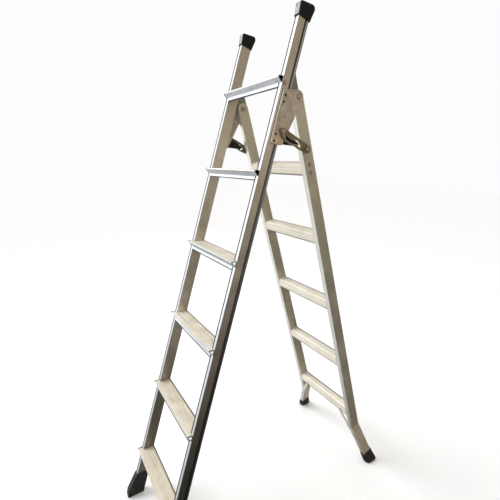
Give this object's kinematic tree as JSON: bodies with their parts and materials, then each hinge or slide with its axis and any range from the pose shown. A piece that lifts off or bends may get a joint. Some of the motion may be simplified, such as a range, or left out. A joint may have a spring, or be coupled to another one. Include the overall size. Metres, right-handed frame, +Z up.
{
  "type": "combination ladder",
  "caption": "Aluminium combination ladder standing open as a stepladder: treads on the front section, rungs on the flared rear section, hinged at the top with slotted locking stays.",
  "frame": {"origin": "on the floor, under the middle of the ladder's footprint when it stands open", "axes": "+X to the climber's right, -Y the climbing side with the treads, +Z up"},
  "size_m": [0.5442, 1.0669, 1.9047],
  "materials": {
    "front_stile_aluminium": "mill-finish extrusion",
    "rear_stile_aluminium": "mill-finish tube",
    "tread_aluminium": "ribbed extrusion",
    "rung_aluminium": "ribbed extrusion",
    "cap_plastic": "moulded",
    "foot_rubber": "moulded",
    "plate_steel": "pressed, zinc plated",
    "stay_steel": "pressed, yellow passivated",
    "brace_steel": "pressed strip",
    "tail_steel": "flat bar",
    "rivet_steel": "dulled",
    "zinc_steel": "zinc plated",
    "guide_nylon": "moulded"
  },
  "bodies": {
    "front_section": {"front_stile_left": "front_stile_aluminium", "front_stile_right": "front_stile_aluminium", "tread_1": "tread_aluminium", "tread_2": "tread_aluminium", "tread_3": "tread_aluminium", "tread_4": "tread_aluminium", "tread_5": "tread_aluminium", "tread_6": "tread_aluminium", "top_cap_left": "cap_plastic", "top_cap_right": "cap_plastic", "front_foot_left": "foot_rubber", "front_foot_right": "foot_rubber", "hinge_plate_left": "plate_steel", "hinge_plate_right": "plate_steel", "plate_rivets": "rivet_steel", "hinge_bolt_left": "zinc_steel", "hinge_bolt_right": "zinc_steel", "hinge_nuts": "zinc_steel", "hinge_washers": "zinc_steel", "stay_stud_left": "stay_steel", "stay_stud_right": "stay_steel", "stud_washers": "stay_steel", "stud_nuts": "stay_steel", "stay_guide_left": "guide_nylon", "stay_guide_right": "guide_nylon", "top_tread_bolts": "rivet_steel", "stile_rivets": "zinc_steel"},
    "rear_section": {"rear_stile_left": "rear_stile_aluminium", "rear_stile_right": "rear_stile_aluminium", "rear_rung_1": "rung_aluminium", "rear_rung_2": "rung_aluminium", "rear_rung_3": "rung_aluminium", "rear_rung_4": "rung_aluminium", "rear_rung_5": "rung_aluminium", "rung_rivets": "zinc_steel", "tail_bar_left": "tail_steel", "tail_bar_right": "tail_steel", "rear_boot_left": "foot_rubber", "rear_boot_right": "foot_rubber", "rung_brace_left": "brace_steel", "rung_brace_right": "brace_steel", "brace_rivets": "zinc_steel", "stay_bolt_left": "stay_steel", "stay_bolt_right": "stay_steel", "stay_spacers": "stay_steel"},
    "stay_left": {"stay_left": "stay_steel"},
    "stay_right": {"stay_right": "stay_steel"}
  },
  "joints": [
    {"name": "rear_fold", "type": "hinge", "parent": "front_section", "child": "rear_section", "pos_m": [0, 0.0031, 1.62263], "axis": [1, 0, 0], "range_deg": [-31.5, 0]},
    {"name": "stay_left_turn", "type": "hinge", "parent": "rear_section", "child": "stay_left", "pos_m": [-0.1978, 0.04626, 1.45753], "axis": [1, 0, 0], "range_deg": [-21, 0]},
    {"name": "stay_right_turn", "type": "hinge", "parent": "rear_section", "child": "stay_right", "pos_m": [0.1978, 0.04626, 1.45753], "axis": [1, 0, 0], "range_deg": [-21, 0]}
  ],
  "couplings": [
    {"joint": "stay_left_turn", "follows": "rear_fold", "ratio": 0.65},
    {"joint": "stay_right_turn", "follows": "rear_fold", "ratio": 0.65}
  ]
}
